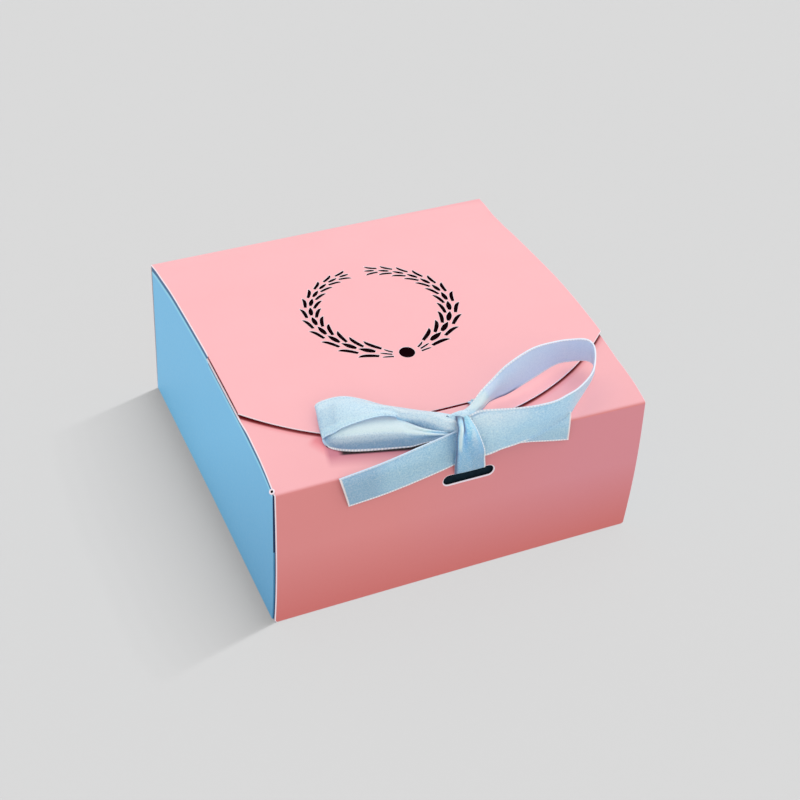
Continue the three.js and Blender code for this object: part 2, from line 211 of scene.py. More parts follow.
RIGHT_TAIL = [
    [(2.5, -70.5, 69.5), (2, -74.8, 65)],
    [(12.5, -72.4, 70), (12, -75.4, 62.5)],
    [(26, -75, 72), (24.5, -75.8, 60.7)],
    [(35, -75.2, 72), (34, -75.6, 58.2)],
    [(42, -75.2, 70), (42.5, -75.2, 56)],
]
BAND = [
    [(-4.4, -60, 56), (8.4, -60, 56)],
    [(-4.2, -68, 52.6), (8.2, -68, 52.6)],
    [(-4, -73.4, 52.1), (8, -73.4, 52.1)],
    [(-4.6, -75.1, 53.9), (-1.6, -75.4, 53.8), (1.5, -75.5, 53.7), (4.8, -75.4, 53.6), (7.9, -75.1, 53.5)],
    [(-5.7, -76.8, 60.8), (-3, -77.3, 60.5), (0.2, -77.4, 60.2), (3.3, -77.3, 60), (6.4, -76.9, 59.7)],
    [(-6.1, -78, 68.2), (-5, -79.2, 68.6), (-2.9, -78.6, 67.6), (1.4, -78.9, 66.4), (5.6, -77.8, 64.2)],
    [(-6.2, -77.4, 72.8), (-5.1, -79.1, 73.6), (-3, -77.7, 71.9), (0.8, -78.5, 71.4), (4.1, -77.3, 69)],
    [(-4.8, -74.9, 75.2), (-3.7, -76.7, 76.3), (-1.9, -74.6, 74.7), (1, -75.9, 74.3), (2.8, -74.8, 73)],
    [(-2.8, -68.6, 75), (-1.8, -69.8, 76.1), (-0.2, -69.5, 74.7), (1, -70.2, 75.3), (2.2, -70.8, 74.6)],
    [(-2.5, -66.4, 72.2), (-1, -66.4, 73), (0.8, -66.6, 72.4), (2.6, -66.8, 73), (4.2, -67, 72)],
    [(1.6, -64.2, 70.2), (3, -64.2, 71), (4.6, -64.2, 70.6), (6.2, -64.2, 71), (7.8, -64.2, 70.2)],
    [(7.6, -60.4, 70.2), (8.8, -60.4, 71), (10, -60.4, 70.4), (11.2, -60.4, 71), (12.4, -60.4, 70.2)],
    [(8, -57.1, 69.8), (9, -57.1, 70.2), (10, -57.1, 69.8), (11, -57.1, 70.2), (12, -57.1, 69.8)],
    [(8, -56.9, 66), (12, -56.9, 66)],
    [(4, -58, 60), (12, -58, 60)],
]

# Strands: the hems that show, [edge, stations, strength], patches of painted shade, above nought, and of
# painted highlight, below it, [stations, shares of the width, painted light], and the side that is the back
# of the satin, from a station on at each edge. Pleats stand where the cloth is drawn together, from the
# station given.
TAIL_HEMS = [(0, (-1, 5), 0.5), (1, (-1, 5), 1)]
STRANDS = {
    "ribbon_loop_left": {
        "stations": LEFT_LOOP, "pleats": 2,
        "hems": [(0, (-1, 20), 0.4), (1, (-1, 9.8), 0.12), (1, (9.8, 20), 0.95)],
        "painted_lights": [
            ((10.3, 17), (0.68, 1.2), 0.3), ((10.3, 17), (0.8, 1.2), 0.15),
            ((10.6, 16.5), (0.05, 0.62), -0.7), ((-1, 3), (0.8, 2), 0.12), ((5, 9.5), (0.84, 2), -0.3),
            ((1.5, 8), (-1, 2), 0.08), ((7.6, 10.2), (0.3, 2), 0.14),
        ],
    },
    "ribbon_loop_right": {
        "stations": RIGHT_LOOP, "pleats": 1, "bulge": 0.2, "back": {"side": 1, "from": (4.3, 3.5)},
        "hems": [(0, (-1, 22), 0.8), (1, (6.4, 14.2), 0.5), (1, (17.6, 22), 0.9)],
        "painted_lights": [
            ((1.8, 6.4), (0.95, 2), 1), ((2.4, 4), (-1, 0.9), -0.9), ((19.6, 22), (-1, 0.04), 0.9),
            ((17, 20), (0, 1), -0.15),
        ],
    },
    "ribbon_tail_left": {
        "stations": LEFT_TAIL, "bulge": -0.4, "cut end": True, "hems": TAIL_HEMS,
        "painted_lights": [((3, 6), (-1, 2), 0.26)],
    },
    "ribbon_tail_right": {"stations": RIGHT_TAIL, "bulge": 0.3, "cut end": True, "hems": TAIL_HEMS},
    "ribbon_band": {
        "stations": BAND, "pleats": 3, "pleat depth": 1.3, "pleats from": 9,
        "hems": [(1, (-1, 15), 1)],
        "painted_lights": [
            ((-1, 9), (-1, 0.08), 0.9), ((5, 7.3), (0.12, 0.3), -0.9), ((6.5, 7.9), (0.4, 0.52), 1),
            ((7.75, 8.15), (-1, 0.55), 1), ((2, 6), (0.55, 2), 0.12),
        ],
    },
}
PLEAT_DEPTH = 0.75
HOLLOW_REACH = 3
# How strongly a fold takes painted shade in its hollows and a painted highlight on its ridges
FOLD_TONE = 0.9
BACK_TONE = 0.65
EDGE_SWELL = 0.9

# Camera at the photograph's viewing angle
CAMERA = {
    "place": (-228.4, -493.3, 481.1), "azimuth": -25.52, "elevation": 39.74, "roll": 3.438, "lens": 77.61,
}

# Light: a bright sky and a soft window, warm light that comes through the satin into the right loop, and
# for the floor a strip of lights high on the right
SKY = 0.95
WINDOW = {"strength": 0.75, "angle": 70, "from": (0.54, 0.19, 0.65)}
LOOP_FILL = {"place": (32, -61, 80), "turn": 11, "size": (44, 13), "power": 0.0011, "colour": (1, 0.9, 0.74)}
FLOOR = {"glow": 0.32, "colours": ((0.06, 0.06, 0.0602, 1), (0.061, 0.061, 0.0612, 1)), "size": 6}
STRIP = {
    "lights": 18, "angle": 2.5, "turn": 16, "least": 1, "even": 19, "far": 34, "height": 66, "light": 5.15,
}

# Colours, as the eye reads them. Each card's flat colour is paler than its upright one: painted light from
# above.
PINK_UPRIGHT_AND_LIT = ((230, 140, 139), (243, 177, 182))
FLAP_UPRIGHT_AND_LIT = ((230, 140, 139), (241, 173, 178))
BLUE_UPRIGHT_AND_LIT = ((120, 202, 248), (176, 228, 255))
# In the satin, hollow and shade are painted shade, and ridge and gleam are painted highlight.
SATIN_COLOURS = {
    "hollow": (62, 136, 214), "ridge": (238, 249, 255), "pale grain": (236, 247, 255),
    "deep grain": (102, 158, 204), "seam": (104, 152, 200), "back": (194, 214, 255),
    "shade": (66, 84, 118), "gleam": (214, 246, 255), "cut end": (244, 238, 236),
    "between stitches": (194, 216, 234), "stitch": (250, 252, 255),
}


# Materials

def linear(red, green, blue):
    """A colour given as the eye reads it, from 0 to 255, in linear light."""
    def channel(value):
        value /= 255
        return value / 12.92 if value <= 0.04045 else ((value + 0.055) / 1.055) ** 2.4
    return (channel(red), channel(green), channel(blue), 1)


class Shading:
    """A material with the nodes that make its look. A value is a constant or another node's output."""

    def __init__(self, name):
        self.material = bpy.data.materials.new(name)
        self.material.use_nodes = True
        self.tree = self.material.node_tree
        self.inputs = self.tree.nodes["Principled BSDF"].inputs
        self.place = self.add("ShaderNodeTexCoord").outputs["Object"]

    def give(self, socket, value):
        if isinstance(value, bpy.types.NodeSocket):
            self.tree.links.new(value, socket)
        else:
            socket.default_value = value

    def add(self, kind, inputs=None, **settings):
        node = self.tree.nodes.new(kind)
        for setting, value in settings.items():
            setattr(node, setting, value)
        for socket, value in (inputs or {}).items():
            self.give(node.inputs[socket], value)
        return node

    def axis(self, axis, vector=None):
        """The X, Y or Z of a vector, or else of the place on the object."""
        return self.add("ShaderNodeSeparateXYZ", {"Vector": vector or self.place}).outputs[axis]

    def uv(self, axis):
        return self.axis(axis, self.add("ShaderNodeUVMap").outputs["UV"])

    def upness(self, kind="Normal"):
        """How far the surface looks up."""
        return self.axis("Z", self.add("ShaderNodeNewGeometry").outputs[kind])

    def attribute(self, name):
        return self.add("ShaderNodeAttribute", attribute_name=name).outputs["Fac"]

    def calculate(self, operation, *values):
        return self.add("ShaderNodeMath", dict(enumerate(values)), operation=operation).outputs["Value"]

    def vector(self, operation, *values):
        return self.add("ShaderNodeVectorMath", dict(enumerate(values)), operation=operation).outputs

    def noise(self, scale, detail=3, roughness=0.5):
        inputs = {"Scale": scale, "Detail": detail, "Roughness": roughness, "Vector": self.place}
        return self.add("ShaderNodeTexNoise", inputs).outputs["Fac"]

    def mix(self, share, first, second):
        return self.add("ShaderNodeMix", {0: share, 6: first, 7: second}, data_type="RGBA").outputs[2]

    def ramp(self, value, low, high, start=0.0, end=1.0):
        """Turns a value between low and high into one between start and end."""
        inputs = {"Value": value, "From Min": low, "From Max": high, "To Min": start, "To Max": end}
        return self.add("ShaderNodeMapRange", inputs).outputs["Result"]

    def bump(self, height, strength, distance):
        inputs = {"Height": height, "Strength": strength, "Distance": distance}
        self.give(self.inputs["Normal"], self.add("ShaderNodeBump", inputs).outputs["Normal"])

    def finish(self, colour, roughness, constants=None):
        self.give(self.inputs["Base Color"], colour)
        self.give(self.inputs["Roughness"], roughness)
        for name, value in (constants or {}).items():
            self.inputs[name].default_value = value
        return self.material


def printed_card(name, upright_and_lit, shades):
    """Printed card: a little paler where it lies flat, painted light from above, with a fine paper tooth.

    Each shade is a function that gives where it falls, and the colour of the card there.
    """
    shading = Shading(name)
    upright, flat = (linear(*ink_and_light) for ink_and_light in upright_and_lit)
    ink_and_light = shading.mix(shading.ramp(shading.upness("True Normal"), 0.3, 0.95), upright, flat)
    cloud = shading.ramp(shading.noise(45, 4), 0.3, 0.7, 0, 0.05)
    darker = tuple(0.8 * channel for channel in upright[:3]) + (1,)
    ink_and_light = shading.mix(cloud, ink_and_light, darker)
    for falls, colour in shades:
        ink_and_light = shading.mix(falls(shading), ink_and_light, linear(*colour))
    shading.bump(shading.noise(2600, 3, 0.6), 0.12, 0.00012)
    return shading.finish(ink_and_light, shading.ramp(shading.noise(900, 2), 0.3, 0.7, 0.46, 0.55))


def lid_shadow(start, end):
    """Falls in front of the lid's edge, closer to it at the right, where the lid lies down on the flap."""
    def falls(shading):
        edge = LID_ARC["radius"] * MM
        centre = (-LID_ARC["x"] * MM, -LID_ARC["y"] * MM, 0)
        from_centre = shading.vector("MULTIPLY_ADD", shading.place, (1, 1, 0), centre)["Vector"]
        closer = shading.ramp(shading.axis("X"), -0.02, 0.06, 0, 0.0008)
        reach = shading.calculate("ADD", shading.vector("LENGTH", from_centre)["Value"], closer)
        return shading.ramp(reach, edge + end * MM, edge + start * MM)
    return falls


def bow_shadow(start, end, fade):
    """Falls beside the line from start to end, in [x, y], and fades out between two distances from it."""
    along = (Vector(end) - Vector(start)).normalized()
    out = Vector((along.y, -along.x))
    middle = (Vector(start) + Vector(end)) / 2
    half = (Vector(end) - Vector(start)).length / 2

    def falls(shading):
        def between(direction, none, full):
            travel = shading.vector("DOT_PRODUCT", shading.place, (direction.x, direction.y, 0))["Value"]
            level = direction.dot(middle)
            return shading.ramp(travel, (level + none) * MM, (level + full) * MM)

        lengthwise = shading.calculate(
            "MULTIPLY", between(along, -half - 1, -half + 1), between(along, half + 1, half - 1))
        return shading.calculate("MULTIPLY", between(out, fade[1], fade[0]), lengthwise)
    return falls


def top_shade_and_highlight(start, end):
    """A band on a side panel just under the wrap's edge, for painted shade and for a painted highlight: UV
    holds the distance from it in millimetres.
    """
    def falls(shading):
        return shading.ramp(shading.uv("Y"), end, start)
    return falls


def low_shade(shading):
    """Painted shade that grows towards the foot of the front."""
    return shading.ramp(shading.axis("Z"), 0.036, 0)


def right_shade(shading):
    """Grows towards the right of the front, and leaves the lid as it is."""
    below_lid = shading.ramp(shading.axis("Z"), 0.0655, 0.064)
    return shading.calculate("MULTIPLY", shading.ramp(shading.axis("X"), -0.03, 0.05), below_lid)


def corner_shade(shading):
    """Painted shade that grows towards the lower front corner of a side."""
    total = shading.calculate("ADD", shading.axis("Y"), shading.axis("Z"))
    return shading.ramp(total, 0.03, -0.074)


def bare_card(name, first, second, fibres, roughness, bump):
    """Unprinted card, in two close colours that follow its fibres."""
    shading = Shading(name)
    fibre = shading.noise(*fibres)
    shading.bump(fibre, bump, 0.0001)
    return shading.finish(shading.mix(fibre, linear(*first), linear(*second)), roughness)


def painted_shade_card(name, first, second):
    """Painted shade as dark card: in the cuts, in the gaps and under the lid."""
    shading = Shading(name)
    colour = shading.mix(shading.noise(500, 3, 0.6), linear(*first), linear(*second))
    return shading.finish(colour, 0.9, {"Specular IOR Level": 0})


def satin(name, upright_colour, flat_colour):
    """Pale blue satin with stitched white edges. UV runs across and along it, in millimetres."""
    shading = Shading(name)
    ramp, calculate, attribute = shading.ramp, shading.calculate, shading.attribute
    across, along = shading.uv("X"), shading.uv("Y")
    from_edge = calculate("MINIMUM", across, calculate("SUBTRACT", RIBBON_WIDTH, across))
    on_edge = calculate("MULTIPLY", ramp(from_edge, SELVEDGE * 1.25, SELVEDGE * 0.75), attribute("hem"))
    on_end = ramp(attribute("end"), SELVEDGE * 1.2, SELVEDGE * 0.8)
    stitch = calculate("ABSOLUTE", calculate("SINE", calculate("MULTIPLY", along, math.pi / STITCH)))
    seam = calculate("MULTIPLY", ramp(from_edge, SELVEDGE * 2.2, SELVEDGE * 1.5), stitch)
    weft = calculate("SINE", calculate("MULTIPLY", along, 2 * math.pi / WEFT))
    grain = shading.noise(1700, 2, 0.7)
    fold, painted_light = attribute("fold"), attribute("painted_light")

    colours = {part: linear(*colour) for part, colour in SATIN_COLOURS.items()}
    # Paler where it lies flat: painted light from above.
    cloth = shading.mix(ramp(shading.upness(), 0.3, 0.92), linear(*upright_colour), linear(*flat_colour))
    # Painted shade and painted highlight: hollow and ridge on the folds, shade and gleam in patches.
    for share, part in (
        (ramp(fold, 0.56, 1, 0, 0.8), "hollow"),
        (ramp(fold, 0.44, 0.1, 0, 0.6), "ridge"),
        (ramp(grain, 0.5, 0.75, 0, 0.5), "pale grain"),
        (ramp(grain, 0.5, 0.25, 0, 0.45), "deep grain"),
        (calculate("MULTIPLY", seam, 0.3), "seam"),
        (attribute("inner"), "back"),
        (ramp(painted_light, 0.5, 1), "shade"),
        (ramp(painted_light, 0.5, 0), "gleam"),
        (on_end, "cut end"),
    ):
        cloth = shading.mix(share, cloth, colours[part])
    hem = shading.mix(stitch, colours["between stitches"], colours["stitch"])

    threads = calculate("ADD", calculate("MULTIPLY", weft, 0.15), grain)
    open_cloth = calculate("MULTIPLY", calculate("SUBTRACT", 1, on_edge), threads)
    shading.bump(calculate("ADD", open_cloth, calculate("MULTIPLY", on_edge, stitch)), 0.4, 0.00012)
    return shading.finish(shading.mix(on_edge, cloth, hem), ramp(on_edge, 0, 1, 0.42, 0.6), {
        "Sheen Weight": 0.2,
        "Sheen Roughness": 0.35,
        "Subsurface Weight": 0.7,
        "Subsurface Radius": (1, 1, 1),
        "Subsurface Scale": 0.0012,
    })


def ribbon_rim():
    """The side of the ribbon's edge: white thread where it looks up, and painted shade where it looks down.
    """
    shading = Shading("ribbon_rim")
    thread_and_shade = shading.mix(shading.ramp(shading.upness(), 0.2, 0.5), linear(20, 24, 44), linear(240, 246, 255))
    return shading.finish(shading.mix(shading.attribute("hem"), linear(170, 206, 236), thread_and_shade), 0.8)


def floor_paper():
    """Pale backdrop paper, lit evenly from behind as well as from above."""
    shading = Shading("floor_paper")
    return shading.finish(shading.mix(shading.noise(6, 2), *FLOOR["colours"]), 0.9, {
        "Specular IOR Level": 0,
        "Emission Color": (1, 1, 1, 1),
        "Emission Strength": FLOOR["glow"],
    })


# The front's card takes painted shade towards its foot.
PINK = printed_card("pink_card", PINK_UPRIGHT_AND_LIT, [(right_shade, (224, 141, 150)), (low_shade, (216, 112, 108))])
PINK_FLAP = printed_card("pink_flap", FLAP_UPRIGHT_AND_LIT, [
    (lid_shadow(0.6, 3), (232, 138, 144)),
    (bow_shadow((-53.5, -55.5), (-47, -64.5), (0, 4)), (232, 134, 142)),
    (bow_shadow((-51, -63.5), (-10, -71.3), (0.5, 6)), (198, 118, 134)),
    (bow_shadow((-46, -64.4), (-10, -71.4), (0.5, 1.1)), (40, 10, 18)),
    (lid_shadow(0.7, 1.5), (120, 6, 14)),
])
# Side panels: painted shade just under the wrap's edge, and on the left one painted shade towards the lower
# front corner and a painted highlight along the rounded upper edge.
BLUE_RIGHT = printed_card("blue_card_right", BLUE_UPRIGHT_AND_LIT, [(top_shade_and_highlight(0.8, 2.4), (82, 150, 206))])
BLUE = printed_card("blue_card", BLUE_UPRIGHT_AND_LIT, [
    (corner_shade, (94, 168, 214)),
    (top_shade_and_highlight(3.8, 4.6), (146, 220, 252)),
    (top_shade_and_highlight(2.2, 2.8), (36, 100, 150)),
])
CORE = bare_card("card_core", (252, 240, 246), (242, 224, 234), (3000, 3, 0.7), 0.85, 0.3)
CARD_BACK = bare_card("card_back", (222, 214, 210), (206, 197, 192), (1200, 4, 0.6), 0.9, 0.2)
SHADOW_EDGE = painted_shade_card("shadow_edge", (66, 84, 122), (54, 70, 104))
DARK = painted_shade_card("painted_shade_card", (24, 6, 10), (14, 3, 6))
LID_RIM = painted_shade_card("lid_rim", (150, 92, 98), (136, 80, 88))
MAROON = painted_shade_card("slit_shade_card", (110, 24, 34), (80, 14, 22))
TEAL = painted_shade_card("slot_shade_card", (34, 52, 62), (16, 24, 32))
# Satin is paler where it lies flat, painted light from above, and the band's satin is a darker copy of it:
# painted shade.
SATIN = satin("satin_ribbon", (166, 212, 244), (198, 232, 252))
SHADED_SATIN = satin("satin_knot", (142, 198, 240), (152, 216, 252))
RIM = ribbon_rim()

# Where each material stands in the lists of the wrap's and the panels' materials
PRINT, CUT, INNER, FLAP_PRINT, LID_CUT = range(5)
STRIP_SHADE = 2


# Objects and collections

def add_object(name, data):
    piece = bpy.data.objects.new(name, data)
    bpy.context.scene.collection.objects.link(piece)
    return piece


def add_collection(name, *pieces):
    collection = bpy.data.collections.new(name)
    for piece in pieces:
        collection.objects.link(piece)
    return collection


# Lines and outlines

BEND_STEPS = 6


def through(points, count):
    """A smooth line through points: count rows of numbers, evenly spaced from station to station."""
    points = np.asarray(points, float)
    padded = np.concatenate([[2 * points[0] - points[1]], points, [2 * points[-1] - points[-2]]])
    at = np.linspace(0, len(points) - 1, count)
    start = np.minimum(at.astype(int), len(points) - 2)
    t = (at - start)[:, None]
    before, first, second, after = (padded[start + i] for i in range(4))
    square = 2 * before - 5 * first + 4 * second - after
    cube = 3 * first - before - 3 * second + after
    return 0.5 * (2 * first + (second - before) * t + square * t ** 2 + cube * t ** 3)


def flap_line(stations, count):
    return through([(y, HEIGHT + rise) for y, rise in stations], count)


lid_line = flap_line(LID_RISE, 90)
front_flap_line = flap_line(FLAP_RISE, 60)


def height_on(line, y):
    order = np.argsort(line[:, 0])
    return float(np.interp(y, line[order, 0], line[order, 1]))


def bend(start, control, end):
    """Points of a curve from start towards control and on to end."""
    points = []
    for t in (i / BEND_STEPS for i in range(BEND_STEPS + 1)):
        a, b, c = (1 - t) ** 2, 2 * t * (1 - t), t * t
        points.append([a * x + b * y + c * z for x, y, z in zip(start, control, end)])
    return points


def arc(x, y, radius, start, end, steps=BEND_STEPS):
    """Points of an arc around x, y between two angles in degrees."""
    angles = [math.radians(start + (end - start) * i / steps) for i in range(steps + 1)]
    return [(x + radius * math.cos(angle), y + radius * math.sin(angle)) for angle in angles]


def stadium(x, y, length, width, steps=8):
    radius = width / 2
    reach = length / 2 - radius
    return arc(x + reach, y, radius, -90, 90, steps) + arc(x - reach, y, radius, 90, 270, steps)


def middle_leaf(length, width, steps=7):
    """A leaf in [along, out]: blunt at its base and pointed at its tip."""
    far = []
    for share in (i / steps for i in range(steps + 1)):
        swell = math.sin(math.pi * (LEAF["blunt"] + (1 - LEAF["blunt"]) * share))
        far.append((length * (share - 0.5), width / 2 * swell))
    return far + [(along, -out) for along, out in far[-2::-1]]


def side_leaf(length, side):
    points = bend(*SIDE_LEAF["far"]) + bend(*SIDE_LEAF["near"])[1:]
    return [(length * along, side * length * out) for along, out in points]


def stroke(line, width):
    """A thin stroke along a curve, blunt at its start and pointed at its end."""
    points = bend(*line)
    edges = {1: [], -1: []}
    for i, (x, y) in enumerate(points[:-1]):
        dx, dy = points[i + 1][0] - x, points[i + 1][1] - y
        half = width / 2 * min(1, 2 - 2 * i / (len(points) - 1)) / math.hypot(dx, dy)
        for side, edge in edges.items():
            edge.append((x - side * dy * half, y + side * dx * half))
    return edges[1] + [tuple(points[-1])] + edges[-1][::-1]


def signed_area(points):
    points = np.asarray(points, float)
    following = np.roll(points, -1, axis=0)
    return 0.5 * float((points[:, 0] * following[:, 1] - points[:, 1] * following[:, 0]).sum())


def offset_loop(points, distance):
    """The loop moved sideways by distance: to its left as it runs, with its sharp corners kept short."""
    points = np.asarray(points, float)
    ahead = np.roll(points, -1, axis=0) - points
    ahead /= np.maximum(np.linalg.norm(ahead, axis=1), 1e-9)[:, None]
    left = np.stack([-ahead[:, 1], ahead[:, 0]], axis=1)
    corner = left + np.roll(left, 1, axis=0)
    corner /= np.maximum((corner ** 2).sum(axis=1), 0.8)[:, None]
    return points + 2 * distance * corner


def grown(outline, distance):
    outward = -distance if signed_area(outline) > 0 else distance
    return [tuple(point) for point in offset_loop(outline, outward)]


def place_on_wreath(outline, side, angle):
    """Carries an outline in [along, out] to its angle on one side of the wreath, counted from the dot."""
    turned = math.radians(side * angle + WREATH["turn"])
    outward = (math.sin(turned), -math.cos(turned))
    forward = (side * math.cos(turned), side * math.sin(turned))
    return [
        (WREATH["x"] + outward[0] * (WREATH["radius"] + out) + forward[0] * along,
         WREATH["y"] + outward[1] * (WREATH["radius"] + out) + forward[1] * along)
        for along, out in outline
    ]


def wreath_outlines():
    outlines = []
    for side in (-1, 1):
        for line in STEMS:
            outlines.append(place_on_wreath(stroke(line, STEM["width"]), side, STEM["angle"]))
        for row in range(WREATH["rows"]):
            angle = LEAF_ANGLE["first"] + LEAF_ANGLE["step"] * row - LEAF_ANGLE["closer"] * row ** 2
            length = LEAF["length"] - LEAF["shorter"] * row
            width = LEAF["width"] - LEAF["narrower"] * row
            middle = middle_leaf(length - MIDDLE_LEAF_SHORTER, width)
            for leaf in (middle, side_leaf(length, -1), side_leaf(length, 1)):
                outlines.append(place_on_wreath(leaf, side, angle))
    turned = math.radians(WREATH["turn"])
    x = WREATH["x"] + DOT["ring"] * math.sin(turned)
    y = WREATH["y"] - DOT["ring"] * math.cos(turned)
    outlines.append(stadium(x, y, 2 * DOT["radius"] + 0.01, 2 * DOT["radius"], 14))
    return [grown(outline, WREATH["growth"]) for outline in outlines]


# Pink wrap: one blank of card, drawn flat in X and in the length along its section, then folded

def round_fold(line):
    """Rounds the fold between a flap's line, which starts at the fold, and the upright face under it."""
    fold_y, fold_z = line[0]
    slope = math.atan2(line[3][1] - fold_z, abs(line[3][0] - fold_y))
    inward = -math.copysign(1, fold_y)
    on_flap = (fold_y + inward * FOLD_RADIUS * math.cos(slope), fold_z + FOLD_RADIUS * math.sin(slope))
    on_face = (fold_y, fold_z - FOLD_RADIUS)
    rest = [tuple(point) for point in line if abs(point[0] - fold_y) > 1.3 * FOLD_RADIUS]
    return [tuple(point) for point in bend(on_face, (fold_y, fold_z), on_flap)] + rest


def wrap_section():
    """The outer face of the wrap in [y, z], from the front flap's free end round to the lid's."""
    flap = round_fold(front_flap_line)[::-1]
    lid = round_fold(lid_line)
    face = [(FRONT, z) for z in np.linspace(HEIGHT - FOLD_RADIUS, FOOT_RADIUS, 13)[1:-1]]
    front_foot = arc(FRONT + FOOT_RADIUS, FOOT_RADIUS, FOOT_RADIUS, 180, 270)
    back_foot = arc(BACK - FOOT_RADIUS, FOOT_RADIUS, FOOT_RADIUS, 270, 360)
    return np.array(flap + face + front_foot + back_foot + lid)


section = wrap_section()
section_length = np.concatenate([[0], np.cumsum(np.linalg.norm(np.diff(section, axis=0), axis=1))])
tangents = np.gradient(section, section_length, axis=0)
tangents /= np.linalg.norm(tangents, axis=1)[:, None]
section_normals = np.stack([tangents[:, 1], -tangents[:, 0]], axis=1)


section_parts = {
    "lid": (section_length > section_length[-1] - LID_REACH, 0),
    "flap": (section_length < FLAP_REACH, 0),
    "front": ((np.abs(section[:, 0] - FRONT) < 0.01) & (section_length < section_length[-1] / 2), 1),
}


def length_on(part, level):
    """The length along the section where the lid or the flap stands over a y, or the front has a height."""
    chosen, axis = section_parts[part]
    return float(np.interp(-level, -section[chosen, axis], section_length[chosen]))


def sag(stations, x, y):
    across = max(x / SIDE, 0) ** 1.5
    return across * float(np.interp(y, *zip(*stations)))


def droop(x, y):
    """How far the front flap hangs below its line, near its fold."""
    across = (x / SIDE) ** 2 if x > 0 else -x / SIDE
    return FRONT_DROOP * across * max(0, 1 - (y - FRONT) / DROOP_REACH)


def fold_point(x, length, depth):
    """A point of the flat blank, depth millimetres into the card, where it lies on the folded carton."""
    y, z = (float(np.interp(length, section_length, section[:, i])) for i in (0, 1))
    normal_y, normal_z = (np.interp(length, section_length, section_normals[:, i]) for i in (0, 1))
    place = [x, y - depth * normal_y, z - depth * normal_z]
    up = min(max(z / HEIGHT, 0), 1)
    right = max(x / SIDE, 0) ** 4
    if length > section_length[-1] - LID_REACH:
        place[2] -= sag(LID_SAG, x, y)
    elif y < FRONT + FOOT_RADIUS and z < HEIGHT:
        place[1] -= math.sin(math.pi * up) * (FRONT_SWELL + FRONT_SWELL_RIGHT * max(x / SIDE, 0) ** 2)
        place[2] -= up * droop(x, FRONT)
        place[0] += CORNER_LEAN["out"] * up * right
        if x < 0:
            place[0] *= 1 - (FRONT_INSET - FOOT_SPREAD * (1 - up) ** 6) / SIDE
    elif z > HEIGHT - FOLD_RADIUS:
        place[2] -= droop(x, y) + sag(FLAP_SAG, x, y)
        place[0] += CORNER_LEAN["out"] * right * max(0, 1 - (y - FRONT) / CORNER_LEAN["reach"])
        place[0] -= float(np.interp(y, *zip(*FLAP_SPREAD))) * max(-x / SIDE, 0) ** 8
    if z < HEIGHT:
        reach = max(0, 1 - (y - FRONT) / FOOT_KICK_REACH)
        place[1] -= FOOT_KICK * (1 - up) * reach * ((1 - x / SIDE) / 2) ** 1.8
    return Vector(place) * MM


def blank_outline():
    """The blank's own edge: the front's lower corners are rounded, and the base is a little narrower."""
    radius = LID_ARC["radius"]
    right_end, left_end = (math.degrees(math.asin((x - LID_ARC["x"]) / radius)) - 90 for x in (SIDE, -SIDE))
    edge = arc(LID_ARC["x"], LID_ARC["y"], radius, right_end, left_end, 48)
    lid_edge = [(x, length_on("lid", y)) for x, y in edge]
    on_base = section_length[section[:, 1] < 0.1]
    corner = [(SIDE - inset, length_on("front", z)) for z, inset in FRONT_CORNERS[::-1]]
    base = [(SIDE - BASE_INSET, on_base[-1]), (SIDE, on_base[-1])]
    right = [(SIDE, 0.0)] + corner + base
    left = [(-x, length) for x, length in right[::-1]]
    beside_lid = [(-SIDE, length_on("lid", UNDER_LID[1] + y)) for y in (-1, 1)]
    beside_flap = [(-SIDE, length_on("flap", UNDER_LID[0] + y)) for y in (-1, 1)]
    return right + lid_edge + beside_lid + left[:-1] + beside_flap + left[-1:]


def edge_bevel(x, length):
    """The bevel of the blank's edge, which is widest on the left, but not beside the lid in front."""
    if abs(x) < SIDE - 2:
        return BEVEL["ends"]
    if x > 0:
        return BEVEL["right"]
    if length > length_on("lid", UNDER_LID[1]):
        return BEVEL["left of lid"]
    return BEVEL["under lid" if length < length_on("flap", UNDER_LID[0]) else "left"]


def join(mesh, first, second, material_index=0):
    """Adds the faces between two rings of vertices."""
    for i in range(len(first)):
        j = (i + 1) % len(first)
        mesh.faces.new((first[i], second[i], second[j], first[j])).material_index = material_index


def flat_card(outline, holes):
    """A flat piece of card as a bmesh in [x, length, depth]. Each hole comes with its bevel."""
    loop = outline if signed_area(outline) > 0 else outline[::-1]
    loops = [(loop, np.array([edge_bevel(*point) for point in loop]))]
    for hole, bevel in holes:
        loops.append((hole if signed_area(hole) < 0 else hole[::-1], np.full(len(hole), bevel)))
    mesh = bmesh.new()
    rings = []
    for loop, bevel in loops:
        full = np.full(len(loop), CARD)
        levels = (
            (offset_loop(loop, bevel[:, None]), 0 * bevel),
            (loop, bevel * BEVEL_SLOPE),
            (loop, full - INNER_BEVEL),
            (offset_loop(loop, INNER_BEVEL), full),
        )
        ring = [[mesh.verts.new((x, y, depth)) for (x, y), depth in zip(points, depths)]
                for points, depths in levels]
        for upper, lower in zip(ring, ring[1:]):
            join(mesh, upper, lower, CUT)
        rings.append(ring)
    for level, material_index, turned in ((0, PRINT, False), (-1, INNER, True)):
        verts = [vert for ring in rings for vert in ring[level]]
        polygons = [[vert.co for vert in ring[level]] for ring in rings]
        for triangle in tessellate_polygon(polygons):
            corners = [verts[i] for i in triangle]
            a, b, c = (corner.co.xy for corner in corners)
            area = (b - a).cross(c - a)
            if (area > 0) == turned:
                corners.reverse()
            if abs(area) > SMALLEST_AREA:
                mesh.faces.new(corners).material_index = material_index
    return mesh


